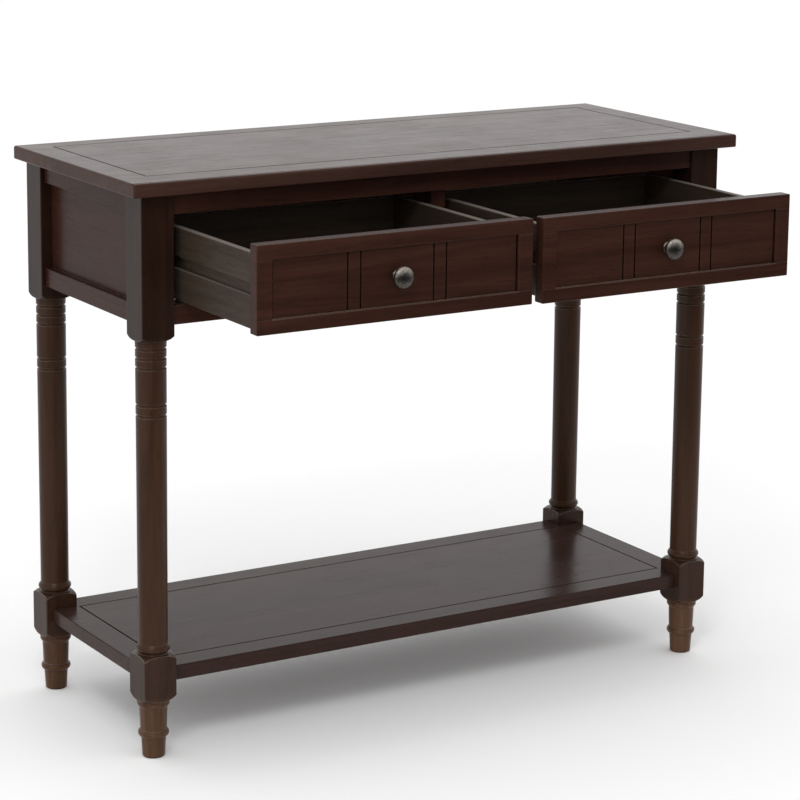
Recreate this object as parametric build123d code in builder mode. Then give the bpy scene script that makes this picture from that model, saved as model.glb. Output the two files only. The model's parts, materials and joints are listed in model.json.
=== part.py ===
from build123d import *
import math
import os

# Console table with two drawers and a low shelf, in millimetres. +X runs along the table to its right
# end, the front faces -Y and +Z is up. The origin is on the floor, under the middle of the table's
# box with both drawers drawn out as modelled.

# ---- driving dimensions ----
HEIGHT = 765.0            # floor to the upper face of the top
FRAME_LENGTH = 903.0      # over the outer faces of the legs, along X
FRAME_DEPTH = 352.0       # over the outer faces of the legs, along Y
TOP_THICKNESS = 18.0
END_OVERHANG = 18.5       # top past the legs at each end
FRONT_OVERHANG = 18.0     # top past the front legs; the back edge is flush
POST = 46.0               # square of the leg blank
ARRIS = 1.8               # rounding of the square blocks' corners
EASE = 0.8                # rounding that sanding leaves along a board's long edges

RAIL_THICKNESS = 18.0
TOP_RAIL_HEIGHT = 28.0
BOTTOM_RAIL_Z = (577.0, 602.0)
END_SETBACK = 6.0         # end and back rails behind the legs' outer faces
FRONT_SETBACK = 4.0       # front rails behind the legs' front faces
CLOSED_SETBACK = 1.5      # closed drawer fronts behind the legs' front faces
PANEL_THICKNESS = 6.0
PANEL_TONGUE = 6.0        # how far a panel runs into its grooves

SHELF_THICKNESS = 20.0
SHELF_TOP_Z = 121.0
SHELF_END_INSET = 10.0    # shelf ends behind the legs' outer faces
SHELF_EDGE_INSET = 13.0

LEFT_OPEN = 216.5         # how far each drawer is drawn out here
RIGHT_OPEN = 221.5
DRAWER_FRONT = (398.0, 20.0, 111.0)
DRAWER_FRONT_Z = 604.0    # lower edge of the front
FRONT_CLEARANCE = 1.5     # front to leg
DRAWER_DEPTH = 290.0      # box behind the front
SIDE_THICKNESS = 10.0
SIDE_Z = (606.0, 701.0)
BOTTOM_PLY = 5.0
BOTTOM_PLY_Z = 614.0
SLOT_HEIGHT = 16.5
SLOT_DEPTH = 6.0
SLOT_STOP = 11.5          # solid wood left between the slot and the front
SLOT_Z = 655.0            # middle of the slot and of the runner
RUNNER_HEIGHT = 15.0
RUNNER_TIP_GAP = 1.0
OUTER_GAP = 10.0          # leg to drawer side
PARTITION_THICKNESS = 22.0   # and the width of the stile in front of it
INNER_GAP = 9.5           # partition to drawer side
STILE_DEPTH = 18.0
TIP_BLOCK_SETBACK = 24.0  # tip blocks behind the stile

DOWEL = (8.0, 30.0)
SMALL_DOWEL = (6.0, 24.0)
KNOB_RADIUS = 14.0
KNOB_HALF_THICKNESS = 7.5
KNOB_CENTRE = 15.5        # middle of the crown in front of the face that the knob stands on
FRONT_RECESS = 4.0        # panel of a drawer front behind its border

# ---- places worked out from them ----
UNDER_TOP = HEIGHT - TOP_THICKNESS
TOP_RAIL_Z = (UNDER_TOP - TOP_RAIL_HEIGHT, UNDER_TOP)
KNOB_REACH = KNOB_CENTRE + KNOB_HALF_THICKNESS - FRONT_RECESS
MOST_FORWARD = max(LEFT_OPEN, RIGHT_OPEN) - CLOSED_SETBACK + KNOB_REACH
FRONT = -(FRAME_DEPTH - MOST_FORWARD) / 2        # Y of the legs' front faces
BACK = FRONT + FRAME_DEPTH                       # Y of the legs' back faces
END = FRAME_LENGTH / 2                           # X of the legs' outer faces
LEG_X = END - POST / 2
LEG_Y = {"front": FRONT + POST / 2, "rear": BACK - POST / 2}
INNER_X = END - POST                             # inner faces of the legs
RAIL_FRONT_Y = (FRONT + FRONT_SETBACK, FRONT + FRONT_SETBACK + RAIL_THICKNESS)
RAIL_BACK_Y = (BACK - END_SETBACK - RAIL_THICKNESS, BACK - END_SETBACK)
RAIL_END_X = (END - END_SETBACK - RAIL_THICKNESS, END - END_SETBACK)
BETWEEN_LEGS_Y = (FRONT + POST, BACK - POST)
STILE_Y = (RAIL_FRONT_Y[1], RAIL_FRONT_Y[1] + STILE_DEPTH)
PARTITION_Y = (STILE_Y[1], RAIL_BACK_Y[0])
PARTITION_X = PARTITION_THICKNESS / 2
BOX_Y = (FRONT + CLOSED_SETBACK + DRAWER_FRONT[1], FRONT + CLOSED_SETBACK + DRAWER_FRONT[1] + DRAWER_DEPTH)
BOX_X = (PARTITION_X + INNER_GAP, INNER_X - OUTER_GAP)
FRONT_X = (INNER_X - FRONT_CLEARANCE - DRAWER_FRONT[0], INNER_X - FRONT_CLEARANCE)
RUNNER_Y = (BOX_Y[0] + SLOT_STOP + 1.5, RAIL_BACK_Y[0] - 2.0)
RUNNER_Z = (SLOT_Z - RUNNER_HEIGHT / 2, SLOT_Z + RUNNER_HEIGHT / 2)
SHELF_Z = (SHELF_TOP_Z - SHELF_THICKNESS, SHELF_TOP_Z)
ENDS = {"left": -1, "right": 1}

os.makedirs("parts", exist_ok=True)


# ---- helpers ----
def finish(builder, name):
    """Name a finished piece and write it."""
    builder.part.label = name
    export_step(builder.part, f"parts/{name}.step")


def span(a, b):
    """Two limits in rising order."""
    return (min(a, b), max(a, b))


def board(x, y, z, mode=Mode.ADD):
    """Rectangular board between limits along each axis, in the part being built."""
    middle = [(a + b) / 2 for a, b in (x, y, z)]
    with Locations(tuple(middle)):
        Box(x[1] - x[0], y[1] - y[0], z[1] - z[0], mode=mode)


def eased_board(x, y, z, along, radius=EASE):
    """Board whose four edges along one axis are rounded as sanding leaves them."""
    with BuildPart(mode=Mode.PRIVATE) as plain:
        board(x, y, z)
        fillet(plain.edges().filter_by(along), radius=radius)
    add(plain.part)


def pin(middle, direction, diameter, length, mode=Mode.ADD):
    """Round pin about its middle point, along a direction."""
    start = Vector(*middle) - Vector(*direction).normalized() * (length / 2)
    with BuildSketch(Plane(start, z_dir=direction)) as section:
        Circle(diameter / 2)
    extrude(section.sketch, amount=length, mode=mode)


def wood_screw(head, direction, length, diameter=3.5, head_diameter=7.0):
    """Countersunk screw: flat head at a point, shank along a direction, with a conical tip."""
    head_height = (head_diameter - diameter) / 2
    tip = diameter
    axis = Vector(*direction).normalized()
    side = axis.cross(Vector(0, 1, 0)) if abs(axis.Y) < 0.9 else axis.cross(Vector(0, 0, 1))
    with BuildSketch(Plane(Vector(*head), x_dir=axis, z_dir=side)) as half_section:
        with BuildLine():
            Polyline(
                (0, 0),
                (0, head_diameter / 2),
                (0.5, head_diameter / 2),
                (0.5 + head_height, diameter / 2),
                (length - tip, diameter / 2),
                (length, 0),
                close=True,
            )
        make_face()
    revolve(half_section.sketch, axis=Axis(Vector(*head), axis))


def groove_outline(width=2.6, depth=2.2):
    """Section of a routed groove below an upper face: a narrow floor between sloping sides."""
    floor = 0.3 * width
    Polyline(
        (-width / 2, 0.01), (width / 2, 0.01), (floor, -depth), (-floor, -depth), close=True
    )


def routed_rectangle(length, width, centre, z):
    """Groove routed round a rectangle in an upper face, cut from the part being built."""
    corner = (centre[0] - length / 2, centre[1] - width / 2)
    far = (corner[0] + length, corner[1] + width)
    with BuildLine(Plane.XY.offset(z)) as route:
        Polyline(
            (centre[0], corner[1]), (far[0], corner[1]), far, (corner[0], far[1]), corner, close=True
        )
    start = Plane((centre[0], corner[1], z), x_dir=(0, 1, 0), z_dir=(1, 0, 0))
    with BuildSketch(start) as section:
        with BuildLine():
            groove_outline()
        make_face()
    sweep(section.sketch, path=route.wires()[0], transition=Transition.RIGHT, mode=Mode.SUBTRACT)


# ---- fasteners inside the carcass, made first because the wood is bored for them ----
RAIL_LEVELS = [sum(TOP_RAIL_Z) / 2, sum(BOTTOM_RAIL_Z) / 2]
with BuildPart() as rail_dowels:
    for z in RAIL_LEVELS:
        for x_sign in ENDS.values():
            for y in BETWEEN_LEGS_Y:
                pin((x_sign * sum(RAIL_END_X) / 2, y, z), (0, 1, 0), *DOWEL)
            for y_limits in (RAIL_FRONT_Y, RAIL_BACK_Y):
                pin((x_sign * INNER_X, sum(y_limits) / 2, z), (1, 0, 0), *DOWEL)
        for y in PARTITION_Y:
            pin((0, y, z), (0, 1, 0), DOWEL[0], DOWEL[1] - 4)
finish(rail_dowels, "rail_dowels")

with BuildPart() as stile_screws:
    for z in RAIL_LEVELS:
        for x_sign in ENDS.values():
            wood_screw((x_sign * 7.4, STILE_Y[1], z), (0, -1, 0), 30, 3.0, 6.0)
finish(stile_screws, "stile_screws")

RUNNER_SCREW_INSET = 5.5
with BuildPart() as runner_screws:
    for x_sign in ENDS.values():
        outer_tip = x_sign * (BOX_X[1] - SLOT_DEPTH + RUNNER_TIP_GAP)
        inner_tip = x_sign * (BOX_X[0] + SLOT_DEPTH - RUNNER_TIP_GAP)
        for y in (RUNNER_Y[0] + RUNNER_SCREW_INSET, RUNNER_Y[1] - 10):
            wood_screw((outer_tip, y, SLOT_Z), (x_sign, 0, 0), 28)
        for y in (RUNNER_Y[0] + 25, sum(RUNNER_Y) / 2, RUNNER_Y[1] - 25):
            wood_screw((inner_tip, y + x_sign * 6, SLOT_Z), (-x_sign, 0, 0), 24)
finish(runner_screws, "runner_screws")

CLEAT = 18.0
CLEAT_Z = (UNDER_TOP - CLEAT, UNDER_TOP)
CLEAT_Y = (FRONT + 70, BACK - 70)
CLEAT_X = (RAIL_END_X[0] - CLEAT, RAIL_END_X[0])
BACK_CLEAT_X = (120.0, 320.0)
BACK_CLEAT_Y = (RAIL_BACK_Y[0] - CLEAT, RAIL_BACK_Y[0])
with BuildPart() as cleat_screws:
    for x_sign in ENDS.values():
        for y in (CLEAT_Y[0] + 20, CLEAT_Y[1] - 20):
            wood_screw((x_sign * CLEAT_X[0], y, sum(CLEAT_Z) / 2), (x_sign, 0, 0), 30)
        for x in (BACK_CLEAT_X[0] + 20, BACK_CLEAT_X[1] - 20):
            wood_screw((x_sign * x, BACK_CLEAT_Y[0], sum(CLEAT_Z) / 2), (0, 1, 0), 30)
finish(cleat_screws, "cleat_screws")

TOP_SCREW = 30.0
FRONT_SCREW_SINK = 10.0
with BuildPart() as top_screws:
    for x_sign in ENDS.values():
        for y in (CLEAT_Y[0] + 50, CLEAT_Y[1] - 50):
            wood_screw((x_sign * sum(CLEAT_X) / 2, y, CLEAT_Z[0]), (0, 0, 1), TOP_SCREW)
        for x in (BACK_CLEAT_X[0] + 60, BACK_CLEAT_X[1] - 60):
            wood_screw((x_sign * x, sum(BACK_CLEAT_Y) / 2, CLEAT_Z[0]), (0, 0, 1), TOP_SCREW)
        front_head = (x_sign * 210, sum(RAIL_FRONT_Y) / 2, TOP_RAIL_Z[0] + FRONT_SCREW_SINK)
        wood_screw(front_head, (0, 0, 1), TOP_SCREW)
finish(top_screws, "top_screws")

SHELF_DOWEL_Z = sum(SHELF_Z) / 2
with BuildPart() as shelf_dowels:
    for x_sign in ENDS.values():
        for y_face in BETWEEN_LEGS_Y:
            pin((x_sign * (END - 20), y_face, SHELF_DOWEL_Z), (0, 1, 0), *DOWEL)
finish(shelf_dowels, "shelf_dowels")

# Pocket screws run up at a slant from the shelf's underside into the inner face of each lower block.
POCKET_ANGLE = math.radians(15)
POCKET_RISE = math.sin(POCKET_ANGLE)
POCKET_RUN = math.cos(POCKET_ANGLE)
POCKET_HEAD = 22.0        # screw head to the leg's face, along X
POCKET_Z = SHELF_Z[0] + 4.5
with BuildPart() as shelf_screws:
    for x_sign in ENDS.values():
        for y in (FRONT + 33, BACK - 33):
            head = (x_sign * (INNER_X - POCKET_HEAD), y, POCKET_Z)
            wood_screw(head, (x_sign * POCKET_RUN, 0, POCKET_RISE), 42, 4.0, 8.0)
finish(shelf_screws, "shelf_screws")


# ---- top ----
GROOVE_END_INSET = 43.0   # routed rectangle from the ends of the top
GROOVE_INSET = 36.0       # and from the planes of the legs' front and back faces
FRONT_LINE = 6.5          # fine line behind the front edge
TOP_X = (-END - END_OVERHANG, END + END_OVERHANG)
TOP_Y = (FRONT - FRONT_OVERHANG, BACK)
TOP_MIDDLE_Y = sum(TOP_Y) / 2
with BuildPart() as tabletop:
    board(TOP_X, TOP_Y, (UNDER_TOP, HEIGHT))
    fillet(tabletop.edges().filter_by(Axis.Z), radius=3)
    fillet(tabletop.faces().sort_by(Axis.Z)[-1].edges(), radius=3)
    fillet(tabletop.faces().sort_by(Axis.Z)[0].edges(), radius=2)
    routed_rectangle(
        TOP_X[1] - TOP_X[0] - 2 * GROOVE_END_INSET,
        FRAME_DEPTH - 2 * GROOVE_INSET,
        (0, (FRONT + BACK) / 2),
        HEIGHT,
    )
    with BuildSketch(Plane((TOP_X[0], TOP_Y[0] + FRONT_LINE, HEIGHT), x_dir=(0, 1, 0), z_dir=(1, 0, 0))):
        with BuildLine():
            groove_outline()
        make_face()
    extrude(amount=TOP_X[1] - TOP_X[0], mode=Mode.SUBTRACT)
    add(top_screws.part, mode=Mode.SUBTRACT)
finish(tabletop, "tabletop")

# ---- panels of the two ends and the back ----
PANEL_Z = (BOTTOM_RAIL_Z[1] - PANEL_TONGUE, TOP_RAIL_Z[0] + PANEL_TONGUE)
PANEL_SETBACK = 16.0      # outer face of an end panel behind the legs' outer faces
END_PANEL_X = (END - PANEL_SETBACK - PANEL_THICKNESS, END - PANEL_SETBACK)
BACK_PANEL_Y = (BACK - PANEL_SETBACK - PANEL_THICKNESS, BACK - PANEL_SETBACK)
panels = {}
for end, x_sign in ENDS.items():
    with BuildPart() as side_panel:
        board(
            span(x_sign * END_PANEL_X[0], x_sign * END_PANEL_X[1]),
            (BETWEEN_LEGS_Y[0] - PANEL_TONGUE, BETWEEN_LEGS_Y[1] + PANEL_TONGUE),
            PANEL_Z,
        )
    finish(side_panel, f"{end}_panel")
    panels[end] = side_panel.part

with BuildPart() as back_panel:
    board((-INNER_X - PANEL_TONGUE, INNER_X + PANEL_TONGUE), BACK_PANEL_Y, PANEL_Z)
finish(back_panel, "back_panel")
panels["back"] = back_panel.part

# ---- legs, each turned from one square blank ----
SHAFT_TOP_RADIUS = 20.1
SHAFT_FOOT_RADIUS = 19.4
SHAFT_Z = (155.0, 557.0)
BEAD_GROOVES_Z = [459.0, 473.0, 521.5, 534.0, 546.5]
GROOVE_HALF_WIDTH = 1.9
GROOVE_DEPTH = 1.5
CORNER_RADIUS = POST / math.sqrt(2) + 1.0    # past the blank's corners


def shaft_radius(z):
    """Radius of the lightly tapered shaft at a height."""
    share = (z - SHAFT_Z[0]) / (SHAFT_Z[1] - SHAFT_Z[0])
    return SHAFT_FOOT_RADIUS + share * (SHAFT_TOP_RADIUS - SHAFT_FOOT_RADIUS)


def turned_outline():
    """Half outline of the turning in (radius, height), from the floor up."""
    Polyline((0, 0), (12.4, 0))
    ThreePointArc((12.4, 0), (14.2, 0.9), (14.9, 3.0))
    Polyline((14.9, 3.0), (16.4, 28.0), (17.2, 28.0))
    ThreePointArc((17.2, 28.0), (20.2, 31.8), (17.3, 37.5))
    Polyline((17.3, 37.5), (18.4, 68.0), (19.2, 69.6))
    ThreePointArc((19.2, 69.6), (21.3, 73.2), (20.4, 77.0))
    Line((20.4, 77.0), (22.4, 79.0))
    ThreePointArc((22.4, 79.0), (29.6, 83.3), (CORNER_RADIUS, 90.5))
    Line((CORNER_RADIUS, 90.5), (CORNER_RADIUS, 132.5))
    ThreePointArc((CORNER_RADIUS, 132.5), (29.8, 138.0), (22.4, 141.0))
    Line((22.4, 141.0), (19.9, 141.6))
    ThreePointArc((19.9, 141.6), (19.2, 143.4), (20.6, 145.0))
    ThreePointArc((20.6, 145.0), (22.6, 148.8), (20.9, 152.6))
    Line((20.9, 152.6), (shaft_radius(SHAFT_Z[0]), SHAFT_Z[0]))
    below = (shaft_radius(SHAFT_Z[0]), SHAFT_Z[0])
    for z in BEAD_GROOVES_Z:
        lower = (shaft_radius(z) + 0.1, z - GROOVE_HALF_WIDTH)
        bottom = (shaft_radius(z) - GROOVE_DEPTH, z)
        upper = (shaft_radius(z) + 0.1, z + GROOVE_HALF_WIDTH)
        Line(below, lower)
        ThreePointArc(lower, bottom, upper)
        below = upper
    Polyline(below, (SHAFT_TOP_RADIUS + 0.5, SHAFT_Z[1]), (SHAFT_TOP_RADIUS + 1.6, SHAFT_Z[1] + 0.4))
    shoulder = (SHAFT_TOP_RADIUS + 1.6, SHAFT_Z[1] + 0.4)
    ThreePointArc(shoulder, (29.2, 560.6), (CORNER_RADIUS, 567.0))
    Polyline((CORNER_RADIUS, 567.0), (CORNER_RADIUS, UNDER_TOP), (0, UNDER_TOP), (0, 0))


for end, x_sign in ENDS.items():
    for row, y in LEG_Y.items():
        x = x_sign * LEG_X
        with BuildPart() as leg:
            with BuildSketch(Plane((x, y, 0), x_dir=(1, 0, 0), z_dir=(0, -1, 0))):
                with BuildLine():
                    turned_outline()
                make_face()
            revolve(axis=Axis((x, y, 0), (0, 0, 1)))
            with BuildSketch(Plane((x, y, 0))):
                RectangleRounded(POST, POST, ARRIS)
            extrude(amount=UNDER_TOP, mode=Mode.INTERSECT)
            for cut in (rail_dowels, runner_screws, shelf_dowels, shelf_screws):
                add(cut.part, mode=Mode.SUBTRACT)
            add(panels[end], mode=Mode.SUBTRACT)
            if row == "rear":
                add(panels["back"], mode=Mode.SUBTRACT)
        finish(leg, f"{row}_{end}_leg")

# ---- rails ----
for end, x_sign in ENDS.items():
    for level, z_limits in (("top", TOP_RAIL_Z), ("bottom", BOTTOM_RAIL_Z)):
        with BuildPart() as end_rail:
            rail_x = span(x_sign * RAIL_END_X[0], x_sign * RAIL_END_X[1])
            eased_board(rail_x, BETWEEN_LEGS_Y, z_limits, Axis.Y)
            for cut in (rail_dowels, cleat_screws):
                add(cut.part, mode=Mode.SUBTRACT)
            add(panels[end], mode=Mode.SUBTRACT)
        finish(end_rail, f"{end}_{level}_rail")

for level, z_limits in (("top", TOP_RAIL_Z), ("bottom", BOTTOM_RAIL_Z)):
    with BuildPart() as back_rail:
        eased_board((-INNER_X, INNER_X), RAIL_BACK_Y, z_limits, Axis.X)
        for cut in (rail_dowels, cleat_screws):
            add(cut.part, mode=Mode.SUBTRACT)
        add(panels["back"], mode=Mode.SUBTRACT)
    finish(back_rail, f"back_{level}_rail")

    with BuildPart() as front_rail:
        if level == "bottom":
            eased_board((-INNER_X, INNER_X), (RAIL_FRONT_Y[0], STILE_Y[1]), z_limits, Axis.X)
            board((-PARTITION_X, PARTITION_X), STILE_Y, z_limits, mode=Mode.SUBTRACT)
        else:
            eased_board((-INNER_X, INNER_X), RAIL_FRONT_Y, z_limits, Axis.X)
        for cut in (rail_dowels, stile_screws):
            add(cut.part, mode=Mode.SUBTRACT)
        if level == "top":
            for x_sign in ENDS.values():
                sink = (x_sign * 210, sum(RAIL_FRONT_Y) / 2, z_limits[0] + FRONT_SCREW_SINK / 2)
                pin(sink, (0, 0, 1), 8.0, FRONT_SCREW_SINK, mode=Mode.SUBTRACT)
            add(top_screws.part, mode=Mode.SUBTRACT)
    finish(front_rail, f"front_{level}_rail")

# ---- upright between the drawers, and the runners ----
with BuildPart() as centre_stile:
    eased_board((-PARTITION_X, PARTITION_X), STILE_Y, (BOTTOM_RAIL_Z[0], UNDER_TOP), Axis.Z)
    for cut in (rail_dowels, stile_screws):
        add(cut.part, mode=Mode.SUBTRACT)
finish(centre_stile, "centre_stile")

with BuildPart() as centre_partition:
    eased_board((-PARTITION_X, PARTITION_X), PARTITION_Y, (BOTTOM_RAIL_Z[0], UNDER_TOP), Axis.Y)
    for cut in (rail_dowels, runner_screws):
        add(cut.part, mode=Mode.SUBTRACT)
finish(centre_partition, "centre_partition")

for end, x_sign in ENDS.items():
    outer_x = (BOX_X[1] - SLOT_DEPTH + RUNNER_TIP_GAP, INNER_X)
    inner_x = (PARTITION_X, BOX_X[0] + SLOT_DEPTH - RUNNER_TIP_GAP)
    for place, x_limits in (("outer", outer_x), ("inner", inner_x)):
        with BuildPart() as runner:
            runner_x = span(x_sign * x_limits[0], x_sign * x_limits[1])
            eased_board(runner_x, RUNNER_Y, RUNNER_Z, Axis.Y)
            add(runner_screws.part, mode=Mode.SUBTRACT)
        finish(runner, f"{end}_{place}_runner")

# ---- blocks over the inner drawer sides that keep a drawer from tipping ----
TIP_BLOCK_X = (PARTITION_X, PARTITION_X + 24.0)
TIP_BLOCK_Y = (STILE_Y[1] + TIP_BLOCK_SETBACK, STILE_Y[1] + TIP_BLOCK_SETBACK + 20.0)
TIP_BLOCK_Z = (SIDE_Z[1] + 2.0, UNDER_TOP)
for end, x_sign in ENDS.items():
    with BuildPart() as tip_block:
        tip_block_x = span(x_sign * TIP_BLOCK_X[0], x_sign * TIP_BLOCK_X[1])
        eased_board(tip_block_x, TIP_BLOCK_Y, TIP_BLOCK_Z, Axis.Z)
    finish(tip_block, f"{end}_tip_block")

# ---- cleats that hold the top down ----
for end, x_sign in ENDS.items():
    with BuildPart() as end_cleat:
        eased_board(span(x_sign * CLEAT_X[0], x_sign * CLEAT_X[1]), CLEAT_Y, CLEAT_Z, Axis.Y)
        for cut in (cleat_screws, top_screws):
            add(cut.part, mode=Mode.SUBTRACT)
    finish(end_cleat, f"{end}_cleat")

with BuildPart() as back_cleats:
    for x_sign in ENDS.values():
        cleat_x = span(x_sign * BACK_CLEAT_X[0], x_sign * BACK_CLEAT_X[1])
        eased_board(cleat_x, BACK_CLEAT_Y, CLEAT_Z, Axis.X)
    for cut in (cleat_screws, top_screws):
        add(cut.part, mode=Mode.SUBTRACT)
finish(back_cleats, "back_cleats")

# ---- shelf ----
SHELF_X = (-END + SHELF_END_INSET, END - SHELF_END_INSET)
SHELF_Y = (FRONT + SHELF_EDGE_INSET, BACK - SHELF_EDGE_INSET)
SHELF_GROOVE_INSET = 38.0
with BuildPart() as shelf:
    board(SHELF_X, SHELF_Y, SHELF_Z)
    long_edges = shelf.edges().filter_by(Axis.X) + shelf.edges().filter_by(Axis.Y)
    fillet(long_edges, radius=1.5)
    for x_sign in ENDS.values():
        for y in LEG_Y.values():
            x = x_sign * LEG_X
            notch = POST / 2
            board((x - notch, x + notch), (y - notch, y + notch), SHELF_Z, mode=Mode.SUBTRACT)
            screw_y = FRONT + 33 if y < TOP_MIDDLE_Y else BACK - 33
            pocket_length = 24.0
            head = Vector(x_sign * (INNER_X - POCKET_HEAD), screw_y, POCKET_Z)
            back_off = Vector(x_sign * POCKET_RUN, 0, POCKET_RISE) * (pocket_length / 2)
            middle = head - back_off
            pin(tuple(middle), (x_sign * POCKET_RUN, 0, POCKET_RISE), 8.6, pocket_length,
                mode=Mode.SUBTRACT)
    routed_rectangle(
        SHELF_X[1] - SHELF_X[0] - 2 * SHELF_GROOVE_INSET,
        SHELF_Y[1] - SHELF_Y[0] - 2 * SHELF_GROOVE_INSET,
        (0, sum(SHELF_Y) / 2),
        SHELF_TOP_Z,
    )
    for cut in (shelf_dowels, shelf_screws):
        add(cut.part, mode=Mode.SUBTRACT)
finish(shelf, "shelf")


# ---- drawers ----
BORDER = 22.0             # raised border of a drawer front, at its ends
BORDER_RAIL = 19.0        # and along its upper and lower edges
BATTEN_OFFSET = 62.0      # middle of each batten from the middle of the front
BATTEN_WIDTH = 18.5
BATTEN_GROOVE = 2.8       # width of the grooves beside the battens
END_GROOVE = 2.0          # and of those at the ends of a panel
GROOVE_CUT = 2.8          # their depth
FRONT_ROUND = 1.3         # edges round a front's face
BACK_ROUND = (4.0, 1.5)   # upright and level edges round its back
MOUTH_BEVEL = 1.4         # bevel round the recess
JOINT_LINE = 0.8          # fine lines where the border's uprights meet its rails
BOTTOM_TONGUE = 5.0
BACK_SCREWS_Z = (633.0, 686.0)
SIDE_DOWELS_Z = (630.0, 686.0)
KNOB_Z = DRAWER_FRONT_Z + DRAWER_FRONT[2] / 2


def make_knob(x, y):
    """Round knob: rosette, stem and flattened ball, turned about Y, with its bore for the screw."""
    plane = Plane((x, y, KNOB_Z), x_dir=(0, -1, 0), z_dir=(1, 0, 0))
    with BuildSketch(plane) as half_section:
        with BuildLine():
            Polyline((0, 0), (0, 8.0), (1.0, 8.0))
            ThreePointArc((1.0, 8.0), (2.4, 7.3), (3.0, 5.9))
            ThreePointArc((3.0, 5.9), (5.4, 4.8), (7.8, 5.6))
            Line((7.8, 5.6), (8.1, 6.6))
            ThreePointArc((8.1, 6.6), (9.4, 10.6), (11.8, 12.9))
            ThreePointArc((11.8, 12.9), (KNOB_CENTRE - 0.6, KNOB_RADIUS), (18.4, 12.6))
            TangentArc((KNOB_CENTRE + KNOB_HALF_THICKNESS, 0), (18.4, 12.6), tangent=(0, 1))
            Line((KNOB_CENTRE + KNOB_HALF_THICKNESS, 0), (0, 0))
        make_face()
    revolve(half_section.sketch, axis=Axis((x, y, KNOB_Z), (0, -1, 0)))


def make_knob_screw(x, y):
    """Machine screw from inside the drawer: pan head at a point, shank towards -Y."""
    plane = Plane((x, y, KNOB_Z), x_dir=(0, -1, 0), z_dir=(1, 0, 0))
    shank = DRAWER_FRONT[1] - FRONT_RECESS + 8.0
    with BuildSketch(plane) as half_section:
        with BuildLine():
            Polyline((-1.0, 4.0), (0, 4.0), (0, 2.0), (shank - 0.5, 2.0), (shank, 1.5), (shank, 0))
            Line((shank, 0), (-2.4, 0))
            TangentArc((-2.4, 0), (-1.0, 4.0), tangent=(0, 1))
        make_face()
    revolve(half_section.sketch, axis=Axis((x, y, KNOB_Z), (0, -1, 0)))


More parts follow.
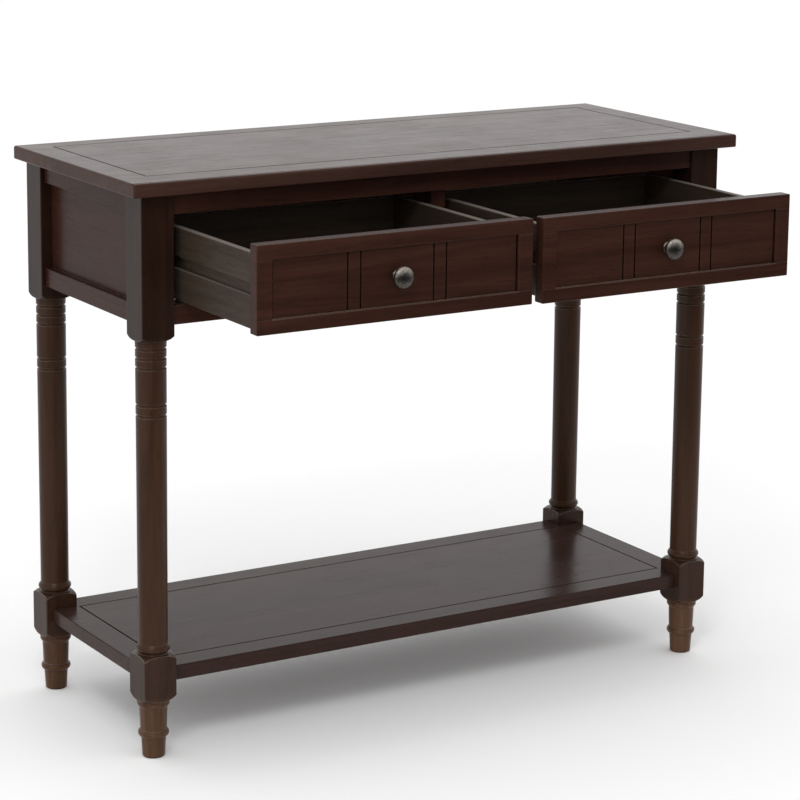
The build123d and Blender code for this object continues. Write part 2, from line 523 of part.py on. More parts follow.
for end, x_sign in ENDS.items():
    opened = LEFT_OPEN if end == "left" else RIGHT_OPEN
    front_y = FRONT + CLOSED_SETBACK - opened
    front_back_y = front_y + DRAWER_FRONT[1]
    box_y = (front_back_y, front_back_y + DRAWER_DEPTH)
    outer_side_x = (BOX_X[1] - SIDE_THICKNESS, BOX_X[1])
    inner_side_x = (BOX_X[0], BOX_X[0] + SIDE_THICKNESS)
    middle_x = x_sign * sum(FRONT_X) / 2
    recess_y = front_y + FRONT_RECESS
    back_y = (box_y[1] - SIDE_THICKNESS, box_y[1])
    sides = {"outer": outer_side_x, "inner": inner_side_x}

    with BuildPart() as drawer_dowels:
        for x_limits in sides.values():
            for z in SIDE_DOWELS_Z:
                pin((x_sign * sum(x_limits) / 2, front_back_y, z), (0, 1, 0), *SMALL_DOWEL)
    finish(drawer_dowels, f"{end}_drawer_dowels")

    with BuildPart() as drawer_screws:
        for z in BACK_SCREWS_Z:
            wood_screw((x_sign * BOX_X[1], sum(back_y) / 2, z), (-x_sign, 0, 0), 32, 3.0, 6.0)
            wood_screw((x_sign * BOX_X[0], sum(back_y) / 2, z), (x_sign, 0, 0), 32, 3.0, 6.0)
    finish(drawer_screws, f"{end}_drawer_screws")

    with BuildPart() as drawer_bottom:
        board(
            span(x_sign * (inner_side_x[1] - BOTTOM_TONGUE), x_sign * (outer_side_x[0] + BOTTOM_TONGUE)),
            (front_back_y - BOTTOM_TONGUE, box_y[1]),
            (BOTTOM_PLY_Z, BOTTOM_PLY_Z + BOTTOM_PLY),
        )
    finish(drawer_bottom, f"{end}_drawer_bottom")

    with BuildPart() as knob_screw:
        make_knob_screw(middle_x, front_back_y)
    finish(knob_screw, f"{end}_knob_screw")

    with BuildPart() as knob:
        make_knob(middle_x, recess_y)
        add(knob_screw.part, mode=Mode.SUBTRACT)
    finish(knob, f"{end}_knob")

    with BuildPart() as drawer_front:
        x_limits = span(x_sign * FRONT_X[0], x_sign * FRONT_X[1])
        z_limits = (DRAWER_FRONT_Z, DRAWER_FRONT_Z + DRAWER_FRONT[2])
        board(x_limits, (front_y, front_back_y), z_limits)
        upright_edges = drawer_front.edges().filter_by(Axis.Z).group_by(Axis.Y)[-1]
        fillet(upright_edges, radius=BACK_ROUND[0])
        level_edges = drawer_front.faces().sort_by(Axis.Y)[-1].edges().filter_by(Axis.X)
        fillet(level_edges, radius=BACK_ROUND[1])
        fillet(drawer_front.faces().sort_by(Axis.Y)[0].edges(), radius=FRONT_ROUND)
        recess_x = DRAWER_FRONT[0] / 2 - BORDER
        recess_z = (z_limits[0] + BORDER_RAIL, z_limits[1] - BORDER_RAIL)
        mouth = Plane((middle_x, front_y, sum(recess_z) / 2), x_dir=(1, 0, 0), z_dir=(0, -1, 0))
        with BuildSketch(mouth):
            Rectangle(2 * (recess_x + MOUTH_BEVEL), recess_z[1] - recess_z[0] + 2 * MOUTH_BEVEL)
        extrude(amount=-MOUTH_BEVEL, taper=45, mode=Mode.SUBTRACT)
        recess_limits = (middle_x - recess_x, middle_x + recess_x)
        board(recess_limits, (front_y, recess_y), recess_z, mode=Mode.SUBTRACT)
        grooves = [
            (BATTEN_OFFSET - BATTEN_WIDTH / 2, BATTEN_GROOVE),
            (BATTEN_OFFSET + BATTEN_WIDTH / 2, BATTEN_GROOVE),
            (recess_x - END_GROOVE / 2, END_GROOVE),
        ]
        for offset, width in grooves:
            for groove_x in (middle_x - offset, middle_x + offset):
                groove_limits = (groove_x - width / 2, groove_x + width / 2)
                groove_y = (recess_y, recess_y + GROOVE_CUT)
                board(groove_limits, groove_y, recess_z, mode=Mode.SUBTRACT)
        for z in recess_z:
            for joint_x in ((x_limits[0], recess_limits[0]), (recess_limits[1], x_limits[1])):
                joint_z = (z - JOINT_LINE / 2, z + JOINT_LINE / 2)
                board(joint_x, (front_y, front_y + JOINT_LINE), joint_z, mode=Mode.SUBTRACT)
        for cut in (drawer_dowels, drawer_bottom, knob_screw):
            add(cut.part, mode=Mode.SUBTRACT)
    finish(drawer_front, f"{end}_drawer_front")

    for place, x_limits in sides.items():
        with BuildPart() as drawer_side:
            side_x = span(x_sign * x_limits[0], x_sign * x_limits[1])
            eased_board(side_x, box_y, SIDE_Z, Axis.Y, radius=2.0)
            if place == "outer":
                slot_x = (x_limits[1] - SLOT_DEPTH, x_limits[1])
            else:
                slot_x = (x_limits[0], x_limits[0] + SLOT_DEPTH)
            slot_z = (SLOT_Z - SLOT_HEIGHT / 2, SLOT_Z + SLOT_HEIGHT / 2)
            slot_y = (box_y[0] + SLOT_STOP, box_y[1])
            board(span(x_sign * slot_x[0], x_sign * slot_x[1]), slot_y, slot_z, mode=Mode.SUBTRACT)
            for cut in (drawer_dowels, drawer_screws, drawer_bottom):
                add(cut.part, mode=Mode.SUBTRACT)
        finish(drawer_side, f"{end}_drawer_{place}_side")

    with BuildPart() as drawer_back:
        eased_board(
            span(x_sign * inner_side_x[1], x_sign * outer_side_x[0]),
            back_y,
            (BOTTOM_PLY_Z + BOTTOM_PLY, SIDE_Z[1]),
            Axis.X,
            radius=1.5,
        )
        add(drawer_screws.part, mode=Mode.SUBTRACT)
    finish(drawer_back, f"{end}_drawer_back")
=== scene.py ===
import json
import math
from functools import partial

import bpy
from mathutils import Matrix, Vector
from mathutils.geometry import tessellate_polygon


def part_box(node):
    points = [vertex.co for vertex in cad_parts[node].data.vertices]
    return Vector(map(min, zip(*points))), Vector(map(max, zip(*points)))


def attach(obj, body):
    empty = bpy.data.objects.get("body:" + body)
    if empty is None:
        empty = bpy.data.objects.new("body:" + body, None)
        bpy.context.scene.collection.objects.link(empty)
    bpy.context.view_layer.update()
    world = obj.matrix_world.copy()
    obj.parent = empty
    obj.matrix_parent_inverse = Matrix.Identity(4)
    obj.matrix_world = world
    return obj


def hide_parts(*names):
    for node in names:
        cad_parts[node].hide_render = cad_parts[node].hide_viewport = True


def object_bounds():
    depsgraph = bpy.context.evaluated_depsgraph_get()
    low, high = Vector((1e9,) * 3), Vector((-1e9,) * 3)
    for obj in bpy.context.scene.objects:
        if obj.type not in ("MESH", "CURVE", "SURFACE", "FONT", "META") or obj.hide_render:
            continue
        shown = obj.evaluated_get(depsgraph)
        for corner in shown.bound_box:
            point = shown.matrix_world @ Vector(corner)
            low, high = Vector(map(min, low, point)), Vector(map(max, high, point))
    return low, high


# Looks of the console table, in metres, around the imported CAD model. The wooden nodes and the knobs
# keep their CAD shapes and get their finishes here; the screws are built again with cross recesses.

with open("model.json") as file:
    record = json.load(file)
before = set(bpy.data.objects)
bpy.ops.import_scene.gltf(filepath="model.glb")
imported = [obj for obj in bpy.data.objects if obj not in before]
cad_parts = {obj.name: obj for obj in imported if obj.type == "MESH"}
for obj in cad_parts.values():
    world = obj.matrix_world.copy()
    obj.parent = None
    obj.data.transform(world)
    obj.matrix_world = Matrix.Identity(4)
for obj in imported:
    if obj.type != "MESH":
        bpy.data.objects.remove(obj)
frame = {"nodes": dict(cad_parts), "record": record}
CAD_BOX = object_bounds()
nodes = frame["nodes"]
body_of = {name: body for body, names in frame["record"]["behaviour"]["bodies"].items() for name in names}
slot_of = {row["node"]: row["material_slot"] for row in frame["record"]["subparts"]}


# ---- shader helpers ----
def new_material(name):
    """A material with its node tree and Principled shader."""
    material = bpy.data.materials.new(name)
    material.use_nodes = True
    return material, material.node_tree, material.node_tree.nodes["Principled BSDF"]


def plug(nt, socket, value):
    """Link a socket into another, or set a plain number or colour on it."""
    if isinstance(value, bpy.types.NodeSocket):
        nt.links.new(value, socket)
    elif isinstance(value, (int, float)):
        socket.default_value = value
    else:
        socket.default_value = (*value, 1.0)


def noise(nt, vector, scale, detail=4.0, roughness=0.6, distortion=0.0):
    """Grey noise on a vector."""
    made = nt.nodes.new("ShaderNodeTexNoise")
    made.inputs["Scale"].default_value = scale
    made.inputs["Detail"].default_value = detail
    made.inputs["Roughness"].default_value = roughness
    made.inputs["Distortion"].default_value = distortion
    nt.links.new(vector, made.inputs["Vector"])
    return made.outputs["Fac"]


def ramp(nt, source, *stops):
    """Colour ramp on a socket; each stop is a place and a grey or a colour."""
    made = nt.nodes.new("ShaderNodeValToRGB")
    elements = made.color_ramp.elements
    while len(elements) < len(stops):
        elements.new(1.0)
    for element, (place, shade) in zip(elements, stops):
        element.position = place
        element.color = (*((shade,) * 3 if isinstance(shade, float) else shade), 1.0)
    nt.links.new(source, made.inputs["Fac"])
    return made.outputs["Color"]


def maths(nt, operation, *values):
    """Maths node on sockets or numbers."""
    made = nt.nodes.new("ShaderNodeMath")
    made.operation = operation
    for socket, value in zip(made.inputs, values):
        plug(nt, socket, value)
    return made.outputs[0]


def mix(nt, share, a, b, blend="MIX"):
    """Colour mix of two sockets or colours."""
    made = nt.nodes.new("ShaderNodeMix")
    made.data_type = "RGBA"
    made.blend_type = blend
    for socket, value in zip((made.inputs[0], made.inputs[6], made.inputs[7]), (share, a, b)):
        plug(nt, socket, value)
    return made.outputs[2]


def bumped(nt, shader, *layers):
    """Bump layers of (height socket, height in metres, strength), one on the other."""
    normal = None
    for height, distance, strength in layers:
        made = nt.nodes.new("ShaderNodeBump")
        made.inputs["Distance"].default_value = distance
        made.inputs["Strength"].default_value = strength
        nt.links.new(height, made.inputs["Height"])
        if normal is not None:
            nt.links.new(normal, made.inputs["Normal"])
        normal = made.outputs["Normal"]
    nt.links.new(normal, shader.inputs["Normal"])


def along_grain(nt, grain, squeeze=0.05):
    """Object coordinates, and the same squeezed along the grain."""
    place = nt.nodes.new("ShaderNodeTexCoord").outputs["Object"]
    mapping = nt.nodes.new("ShaderNodeMapping")
    mapping.inputs["Scale"].default_value["xyz".index(grain)] = squeeze
    nt.links.new(place, mapping.inputs["Vector"])
    return place, mapping.outputs["Vector"]


def recesses(nt, reach):
    """Dark in grooves and corners, white on open faces."""
    made = nt.nodes.new("ShaderNodeAmbientOcclusion")
    made.samples = 6
    made.inputs["Distance"].default_value = reach
    return made.outputs["AO"]


def arrises(nt, radius):
    """White on sharp outer edges, black elsewhere."""
    rounded = nt.nodes.new("ShaderNodeBevel")
    rounded.samples = 4
    rounded.inputs["Radius"].default_value = radius
    geometry = nt.nodes.new("ShaderNodeNewGeometry")
    dot = nt.nodes.new("ShaderNodeVectorMath")
    dot.operation = "DOT_PRODUCT"
    nt.links.new(rounded.outputs[0], dot.inputs[0])
    nt.links.new(geometry.outputs["Normal"], dot.inputs[1])
    return ramp(nt, maths(nt, "SUBTRACT", 1.0, dot.outputs["Value"]), (0.02, 0.0), (0.16, 1.0))


def facing_up(nt):
    """One on level upper faces, nought on upright ones."""
    split = nt.nodes.new("ShaderNodeSeparateXYZ")
    nt.links.new(nt.nodes.new("ShaderNodeNewGeometry").outputs["Normal"], split.inputs[0])
    return split.outputs["Z"]


# ---- woods ----
GLAZE_AND_SHADE_REACH = 0.005        # how far from an inner corner the glaze and the painted shade reach
ARRIS_RADIUS = 0.0016      # width over which the finish on an outer edge is worn thin, and over which upward edges get a painted highlight
WORN_ARRIS = (0.085, 0.048, 0.034)
# colour of the painted highlight on upward arrises
PAINTED_ARRIS_HIGHLIGHT = (0.27, 0.21, 0.175)
# heights up a leg, and what its colour is multiplied by there: the feet much lighter, the lower blocks
# a little darker, the turned stretch about even, and the upper blocks under the top darkest
LEG_TONES = (
    (0.0, (2.25, 2.5, 2.6)), (0.076, (1.95, 2.1, 2.2)), (0.084, (0.8, 0.82, 0.95)),
    (0.138, (0.8, 0.82, 0.95)), (0.146, (1.05, 1.05, 1.0)), (0.553, (0.95, 0.93, 0.9)),
    (0.562, (0.46, 0.42, 0.46)),
)
MATTE_REACH = 0.006        # how far from an inner corner the painted shade on the matte woods reaches


def stained_wood(
    name, grain, dark, light, sheen=0.24, lustre=0.07, dulling=0.3, stave=None, turned=False
):
    """Dark stained wood under satin lacquer: streaked figure, pores, glaze and painted shade in the
    grooves and corners, finish worn thin on the arrises, and a painted highlight on upward arrises except
    on staved boards. sheen is the roughness of the lacquer and lustre the strength of its reflection;
    dulling is how much rougher the grooves are; stave is the axis and width of glued-up staves; turned is
    for the legs."""
    material, nt, shader = new_material(name)
    place, stretched = along_grain(nt, grain)
    split = nt.nodes.new("ShaderNodeSeparateXYZ")
    nt.links.new(place, split.inputs[0])
    figure = noise(nt, stretched, 48.0, 5.0, 0.62, 0.9)
    streaks = noise(nt, stretched, 240.0, 4.0, 0.65)
    pores = noise(nt, stretched, 900.0, 3.0, 0.6)
    clouds = noise(nt, place, 4.0, 2.0, 0.5)
    colour = ramp(nt, figure, (0.28, dark), (0.72, light))
    colour = mix(nt, 0.5, colour, ramp(nt, streaks, (0.3, 0.76), (0.62, 1.08)), "MULTIPLY")
    colour = mix(nt, 0.4, colour, ramp(nt, pores, (0.34, 0.4), (0.46, 1.0)), "MULTIPLY")
    colour = mix(nt, 1.0, colour, ramp(nt, clouds, (0.3, 0.9), (0.7, 1.1)), "MULTIPLY")
    if stave:
        axis, width = stave
        number = maths(nt, "FLOOR", maths(nt, "DIVIDE", split.outputs[axis.upper()], width))
        tone = nt.nodes.new("ShaderNodeTexWhiteNoise")
        tone.noise_dimensions = "1D"
        nt.links.new(number, tone.inputs["W"])
        shade = ramp(nt, tone.outputs["Value"], (0.0, 0.88), (1.0, 1.12))
        colour = mix(nt, 1.0, colour, shade, "MULTIPLY")
    if turned:
        # colour multiplied by height up the leg, as LEG_TONES lists
        colour = mix(nt, 1.0, colour, ramp(nt, split.outputs["Z"], *LEG_TONES), "MULTIPLY")
    # glaze and painted shade: the colour darkens in the grooves, the corners and where parts meet
    open_face = recesses(nt, GLAZE_AND_SHADE_REACH)
    colour = mix(nt, 1.0, colour, ramp(nt, open_face, (0.2, 0.08), (0.62, 1.0)), "MULTIPLY")
    edges = arrises(nt, ARRIS_RADIUS)
    colour = mix(nt, maths(nt, "MULTIPLY", edges, 0.3), colour, WORN_ARRIS)
    # painted highlight on the upward arrises, as if lit from above; left off the staved top and shelf
    if not stave:
        highlight_share = ramp(nt, facing_up(nt), (0.25, 0.0), (0.65, 0.85))
        colour = mix(nt, maths(nt, "MULTIPLY", edges, highlight_share), colour, PAINTED_ARRIS_HIGHLIGHT)
    plug(nt, shader.inputs["Base Color"], colour)
    gloss = ramp(nt, streaks, (0.3, sheen + 0.06), (0.7, sheen - 0.03))
    rub = ramp(nt, noise(nt, place, 14.0, 5.0, 0.7), (0.35, 0.0), (0.75, 0.07))
    dull = ramp(nt, open_face, (0.25, dulling), (0.7, 0.0))
    gloss = maths(nt, "ADD", maths(nt, "ADD", gloss, rub), dull)
    if turned:
        # lacquer gathers on the lips of the beads, which catch the light
        plug(nt, shader.inputs["Specular IOR Level"], ramp(nt, edges, (0.1, lustre), (0.7, 0.9)))
        gloss = maths(nt, "SUBTRACT", gloss, maths(nt, "MULTIPLY", edges, 0.08))
    else:
        shader.inputs["Specular IOR Level"].default_value = lustre
    plug(nt, shader.inputs["Roughness"], gloss)
    lacquer = noise(nt, place, 160.0, 2.0, 0.5)
    bumped(nt, shader, (streaks, 0.0002, 0.07), (pores, 0.0001, 0.10), (lacquer, 0.0001, 0.05))
    return material


def plain_wood(name, grain, dark, light, roughness, specular=0.1, painted_top_highlight=None):
    """Matte wood of the drawer boxes, runners and dowels, with painted shade in the corners; the last
    argument is the colour of a painted highlight laid on upward faces."""
    material, nt, shader = new_material(name)
    place, stretched = along_grain(nt, grain)
    figure = noise(nt, stretched, 60.0, 5.0, 0.65, 0.8)
    pores = noise(nt, stretched, 700.0, 3.0, 0.65)
    colour = ramp(nt, figure, (0.28, dark), (0.72, light))
    colour = mix(nt, 0.5, colour, ramp(nt, pores, (0.35, 0.45), (0.5, 1.0)), "MULTIPLY")
    # painted shade: darker in the corners and where parts meet
    corner_shade = ramp(nt, recesses(nt, MATTE_REACH), (0.25, 0.45), (0.8, 1.0))
    colour = mix(nt, 1.0, colour, corner_shade, "MULTIPLY")
    # painted highlight: upward faces lighter, as if lit from above
    if painted_top_highlight:
        colour = mix(nt, ramp(nt, facing_up(nt), (0.45, 0.0), (0.9, 1.0)), colour, painted_top_highlight)
    plug(nt, shader.inputs["Base Color"], colour)
    plug(nt, shader.inputs["Roughness"], ramp(nt, pores, (0.3, roughness + 0.12), (0.7, roughness)))
    shader.inputs["Specular IOR Level"].default_value = specular
    bumped(nt, shader, (figure, 0.0003, 0.15), (pores, 0.0001, 0.35))
    return material


# ---- metals ----
KNOB_REACH = 0.008         # how far from an inner corner the patina gathers
KNOB_ARRIS = 0.002         # width of the rubbed edges
RUBBED_METAL = (0.30, 0.285, 0.26)


def aged_metal(name):
    """Dark pewter: patina in the hollows, rubbed edges, painted shade underneath and a painted highlight
    above, softly dented.
    """
    material, nt, shader = new_material(name)
    place = nt.nodes.new("ShaderNodeTexCoord").outputs["Object"]
    mottle = noise(nt, place, 420.0, 5.0, 0.65)
    dents = noise(nt, place, 260.0, 2.0, 0.5)
    colour = ramp(nt, mottle, (0.3, (0.056, 0.051, 0.045)), (0.7, (0.15, 0.138, 0.122)))
    colour = mix(nt, 1.0, colour, ramp(nt, recesses(nt, KNOB_REACH), (0.2, 0.3), (0.85, 1.0)), "MULTIPLY")
    colour = mix(nt, maths(nt, "MULTIPLY", arrises(nt, KNOB_ARRIS), 0.5), colour, RUBBED_METAL)
    # painted highlight on the upper faces and painted shade on the lower ones
    colour = mix(nt, 1.0, colour, ramp(nt, facing_up(nt), (0.05, 0.75), (0.6, 3.2)), "MULTIPLY")
    plug(nt, shader.inputs["Base Color"], colour)
    shader.inputs["Metallic"].default_value = 1.0
    plug(nt, shader.inputs["Roughness"], ramp(nt, mottle, (0.3, 0.5), (0.7, 0.34)))
    bumped(nt, shader, (dents, 0.0008, 0.45), (mottle, 0.0001, 0.2))
    return material


def plated_steel(name):
    """Zinc plated screws with fine turning marks."""
    material, nt, shader = new_material(name)
    place = nt.nodes.new("ShaderNodeTexCoord").outputs["Object"]
    bloom = noise(nt, place, 900.0, 4.0, 0.6)
    zinc = ramp(nt, bloom, (0.3, (0.42, 0.42, 0.41)), (0.7, (0.6, 0.6, 0.59)))
    plug(nt, shader.inputs["Base Color"], zinc)
    shader.inputs["Metallic"].default_value = 1.0
    plug(nt, shader.inputs["Roughness"], ramp(nt, bloom, (0.3, 0.42), (0.7, 0.28)))
    bumped(nt, shader, (bloom, 0.00005, 0.3))
    return material


# ---- finish of each node; a palette is the dark and the light of a wood's figure ----
ESPRESSO = ((0.0225, 0.0082, 0.0052), (0.0415, 0.0158, 0.0104))
TOP_ESPRESSO = ((0.034, 0.0155, 0.0115), (0.056, 0.027, 0.0205))
SHELF_ESPRESSO = ((0.026, 0.0135, 0.0105), (0.044, 0.024, 0.0192))
PANEL_ESPRESSO = ((0.0285, 0.0104, 0.0068), (0.0365, 0.0138, 0.0092))
LEG_BROWN = ((0.026, 0.0112, 0.0058), (0.05, 0.0232, 0.0125))
BOX_BROWN = ((0.027, 0.0185, 0.0128), (0.048, 0.034, 0.0243))
PLY_BROWN = ((0.033, 0.0205, 0.0148), (0.056, 0.0362, 0.0268))
# colour of the painted highlight on the drawer boxes' upward faces
PAINTED_TOP_HIGHLIGHT = (0.135, 0.118, 0.104)
BEECH = ((0.46, 0.31, 0.17), (0.66, 0.48, 0.30))
STAVE_WIDTH = 0.088
finishes = {}


def finish_for(name):
    """The finish of a CAD node, shared between nodes whose slot and grain are the same."""
    lo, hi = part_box(name)
    grain = "xyz"[max(range(3), key=lambda axis: (hi - lo)[axis])]
    slot = slot_of[name]
    if name in ("tabletop", "shelf"):
        key = (name, grain)
        palette = TOP_ESPRESSO if name == "tabletop" else SHELF_ESPRESSO
        staves = ("y", STAVE_WIDTH)
        make = partial(stained_wood, f"espresso_{name}", grain, *palette, sheen=0.2, stave=staves)
    elif name.endswith("_leg"):
        key = ("leg", grain)
        make = partial(
            stained_wood, "espresso_turned", grain, *LEG_BROWN,
            sheen=0.27, lustre=0.12, dulling=0.08, turned=True,
        )
    elif name in ("left_panel", "right_panel"):
        key = ("panel", grain)
        make = partial(stained_wood, "espresso_panel", grain, *PANEL_ESPRESSO)
    elif slot == "stained_wood":
        key = (slot, grain)
        make = partial(stained_wood, f"espresso_along_{grain}", grain, *ESPRESSO)
    elif slot in ("drawer_box_wood", "runner_wood"):
        key = (slot, grain)
        painted_top_highlight = PAINTED_TOP_HIGHLIGHT if slot == "drawer_box_wood" else None
        title = f"{slot}_along_{grain}"
        make = partial(plain_wood, title, grain, *BOX_BROWN, roughness=0.42, painted_top_highlight=painted_top_highlight)
    elif slot == "stained_ply":
        key = (slot, grain)
        make = partial(plain_wood, f"{slot}_along_{grain}", grain, *PLY_BROWN, roughness=0.5)
    elif slot == "dowel_wood":
        key = (slot, grain)
        make = partial(plain_wood, "bare_beech", grain, *BEECH, roughness=0.6)
    elif slot == "knob_metal":
        key = (slot,)
        make = partial(aged_metal, "aged_pewter")
    else:
        key = (slot,)
        make = partial(plated_steel, "zinc_plate")
    if key not in finishes:
        finishes[key] = make()
    return finishes[key]


for name, obj in nodes.items():
    obj.data.materials.clear()
    obj.data.materials.append(finish_for(name))


# ---- screws ----
SEGMENTS = 40
CROSS = (0.56, 0.15)      # reach and half width of the recess, as shares of the flat's radius
SOFTENED = 0.0002         # rounding of a countersunk head's rim
HEAD_EDGE = 0.0005        # upright edge of a countersunk head, as in the CAD model
POINT = 0.00005           # radius at a screw's tip
DOME = 0.0014             # rise of a pan head
PAN_FLAT = 0.0022         # radius of the flat in the middle of a pan head
PAN_DEPTH = 0.0024        # height of a pan head
PAN_SHANK = (0.002, 0.0015, 0.0005)    # radius, radius at its end, and length of that bevel


def cross_outline(reach, half_width, height):
    """Twelve corners of an upright cross, anticlockwise."""
    arm = [(reach, -half_width), (reach, half_width), (half_width, half_width)]
    quarter_turns = [Matrix.Rotation(k * math.pi / 2, 2) for k in range(4)]
    return [(*(turn @ Vector(corner)), height) for turn in quarter_turns for corner in arm]


def add_screw(points, faces, smooth, head, direction, profile, flat):
    """Add one screw: a turned profile of (depth, radius) from the flat of its head, and its recess."""
    turn = direction.to_track_quat("Z", "Y").to_matrix()

    def put(local):
        first = len(points)
        points.extend(head + turn @ Vector(corner) for corner in local)
        return first

    rim = [math.tau * k / SEGMENTS for k in range(SEGMENTS)]
    rings = [[(r * math.cos(a), r * math.sin(a), depth) for a in rim] for depth, r in profile]
    starts = [put(ring) for ring in rings]
    for a, b in zip(starts, starts[1:]):
        for k in range(SEGMENTS):
            after = (k + 1) % SEGMENTS
            faces.append((a + k, b + k, b + after, a + after))
            smooth.append(True)
    reach, half_width = (share * flat for share in CROSS)
    mouth = cross_outline(reach, half_width, profile[0][0])
    floor = cross_outline(reach * 0.5, half_width * 0.6, profile[0][0] + reach * 0.9)
    cap = put(rings[0])
    mouth_start = put(mouth)
    floor_start = put(floor)
    for face in tessellate_polygon([[Vector(c) for c in rings[0]], [Vector(c) for c in mouth]]):
        faces.append(tuple(reversed([cap + k for k in face])))
        smooth.append(False)
    for k in range(len(mouth)):
        after = (k + 1) % len(mouth)
        faces.append((mouth_start + after, mouth_start + k, floor_start + k, floor_start + after))
        smooth.append(False)
    faces.append(tuple(floor_start + k for k in reversed(range(len(floor)))))
    smooth.append(False)


def loose_parts(obj):
    """Points of each separate solid of a CAD node."""
    mesh = obj.data
    key = [tuple(round(c, 6) for c in obj.matrix_world @ vertex.co) for vertex in mesh.vertices]
    group = {place: {place} for place in key}
    for polygon in mesh.polygons:
        places = [key[k] for k in polygon.vertices]
        for place in places[1:]:
            if group[place] is not group[places[0]]:
                group[places[0]] |= group[place]
                for member in group[place]:
                    group[member] = group[places[0]]
    parts = {id(members): members for members in group.values()}
    return [[Vector(place) for place in sorted(members)] for members in parts.values()]


def countersunk(points, faces, smooth, part):
    """Flat-headed wood screw in the place of a CAD one, which ends in a single point."""
    centre = sum(part, Vector()) / len(part)
    tip = max(part, key=lambda point: (point - centre).length)
    reach = max((point - tip).length for point in part)
    top = [point for point in part if (point - tip).length > reach - POINT]
    head = sum(top, Vector()) / len(top)
    axis = tip - head
    head_radius = (top[0] - head).length
    shank = min((point - head).cross(axis.normalized()).length for point in part if point != tip)
    length = axis.length
    profile = [
        (0.0, head_radius - SOFTENED), (SOFTENED, head_radius), (HEAD_EDGE, head_radius),
        (HEAD_EDGE + head_radius - shank, shank), (length - 2 * shank, shank), (length, POINT),
    ]
    add_screw(points, faces, smooth, head, axis, profile, head_radius)


def pan_head(points, faces, smooth, part):
    """Machine screw with a domed head, which holds a knob from inside the drawer."""
    lo = Vector([min(point[axis] for point in part) for axis in range(3)])
    hi = Vector([max(point[axis] for point in part) for axis in range(3)])
    head = Vector(((lo.x + hi.x) / 2, hi.y, (lo.z + hi.z) / 2))
    head_radius = (hi.x - lo.x) / 2
    ball = (head_radius ** 2 + DOME ** 2) / (2 * DOME)
    rings = (PAN_FLAT, 0.0028, 0.0034, head_radius)
    profile = [(ball - math.sqrt(ball ** 2 - r ** 2), r) for r in rings]
    length = hi.y - lo.y
    shank, end, bevel = PAN_SHANK
    profile += [(PAN_DEPTH, head_radius), (PAN_DEPTH, shank), (length - bevel, shank), (length, end)]
    add_screw(points, faces, smooth, head, Vector((0, -1, 0)), profile, PAN_FLAT)


for name in sorted(node for node in nodes if node.endswith(("_screw", "_screws"))):
    points, faces, smooth = [], [], []
    for part in loose_parts(nodes[name]):
        make_screw = pan_head if name.endswith("knob_screw") else countersunk
        make_screw(points, faces, smooth, part)
    mesh = bpy.data.meshes.new(f"{name}_cut")
    mesh.from_pydata(points, [], faces)
    mesh.polygons.foreach_set("use_smooth", smooth)
    mesh.materials.append(finish_for(name))
    piece = bpy.data.objects.new(f"{name}_cut", mesh)
    bpy.context.scene.collection.objects.link(piece)
    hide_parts(name)
    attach(piece, body_of[name])


# ---- stage: pale floor, even surround, one softbox, and dark flags that only reflections see ----
FLOOR_REACH = 30.0
FLAG_X = (-4.0, 6.0)
FLAG_Y = (-5.0, -1.1)
FLAG_Z = (0.01, 4.0)       # just over the floor, and the upper edge of the upright flag
PAPER_GREY = 0.95
FLAG_GREY = 0.03
SURROUND_STRENGTH = 1.06
KEY_PLACE = (-1.9, -2.3, 3.1)
KEY_WIDTH = 0.9
KEY_WATTS = 30.0


def level(x, y, z):
    """Corners of a level rectangle between limits along X and Y."""
    return [(x[0], y[0], z), (x[1], y[0], z), (x[1], y[1], z), (x[0], y[1], z)]


def stage_plane(name, corners, material):
    """A flat staged sheet between four corners."""
    mesh = bpy.data.meshes.new(name)
    mesh.from_pydata(corners, [], [(0, 1, 2, 3)])
    sheet = bpy.data.objects.new(name, mesh)
    bpy.context.scene.collection.objects.link(sheet)
    mesh.materials.append(material)
    return sheet


def matte(name, grey):
    """Plain matte paint of one grey, for the stage."""
    material, _, shader = new_material(name)
    shader.inputs["Base Color"].default_value = (grey, grey, grey, 1.0)
    shader.inputs["Roughness"].default_value = 0.95
    shader.inputs["Specular IOR Level"].default_value = 0.0
    return material


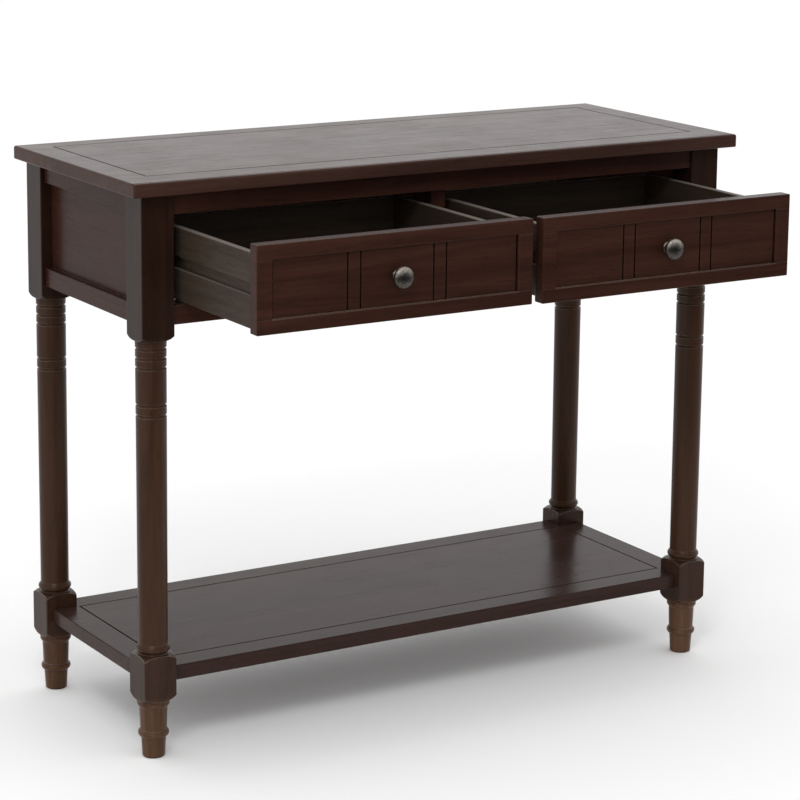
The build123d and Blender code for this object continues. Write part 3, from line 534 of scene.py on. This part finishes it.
all_round = (-FLOOR_REACH, FLOOR_REACH)
stage_plane("floor", level(all_round, all_round, 0), matte("pale_paper", PAPER_GREY))
flag_paint = matte("flag_cloth", FLAG_GREY)
foot = [(x, FLAG_Y[0], 0) for x in FLAG_X]
head = [(x, FLAG_Y[0], FLAG_Z[1]) for x in reversed(FLAG_X)]
flags = [
    stage_plane("floor_flag", level(FLAG_X, FLAG_Y, FLAG_Z[0]), flag_paint),
    stage_plane("upright_flag", foot + head, flag_paint),
]
for flag in flags:
    flag.visible_camera = False
    flag.visible_diffuse = False
    flag.visible_shadow = False
    flag.visible_transmission = False

world = bpy.data.worlds.new("studio")
bpy.context.scene.world = world
world.use_nodes = True
surround = world.node_tree.nodes["Background"]
surround.inputs["Color"].default_value = (1.0, 1.0, 1.0, 1.0)
surround.inputs["Strength"].default_value = SURROUND_STRENGTH

middle = (CAD_BOX[0] + CAD_BOX[1]) / 2


def softbox(name, place, width, power):
    """Square area light aimed at the middle of the table."""
    light = bpy.data.lights.new(name, "AREA")
    light.size = width
    light.energy = power
    lamp = bpy.data.objects.new(name, light)
    bpy.context.scene.collection.objects.link(lamp)
    lamp.location = place
    lamp.rotation_mode = "QUATERNION"
    lamp.rotation_quaternion = (Vector(place) - middle).to_track_quat("Z", "Y")
    return lamp


softbox("key", KEY_PLACE, KEY_WIDTH, KEY_WATTS)
bpy.context.scene.view_settings.view_transform = "Standard"

# ---- camera ----
leg_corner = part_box("front_left_leg")[0]
# from the floor under the outer corner of the front left leg
CAMERA_FROM_LEG = Vector((-1.5192, -3.1094, 1.3302))
YAW, PITCH, ROLL = 0.5481, -0.1967, 0.0103
FOCAL_LENGTH = 126.16
SHIFT_Y = -0.15
camera = bpy.data.objects.new("camera", bpy.data.cameras.new("camera"))
bpy.context.scene.collection.objects.link(camera)
camera.data.lens = FOCAL_LENGTH
camera.data.shift_y = SHIFT_Y
camera.data.clip_end = 100.0
turn = Matrix.Rotation(-YAW, 4, "Z")
tilt = Matrix.Rotation(math.pi / 2 + PITCH, 4, "X")
lean = Matrix.Rotation(ROLL, 4, "Z")
below_corner = Vector((leg_corner.x, leg_corner.y, 0.0))
camera.matrix_world = Matrix.Translation(below_corner + CAMERA_FROM_LEG) @ turn @ tilt @ lean
bpy.context.scene.camera = camera
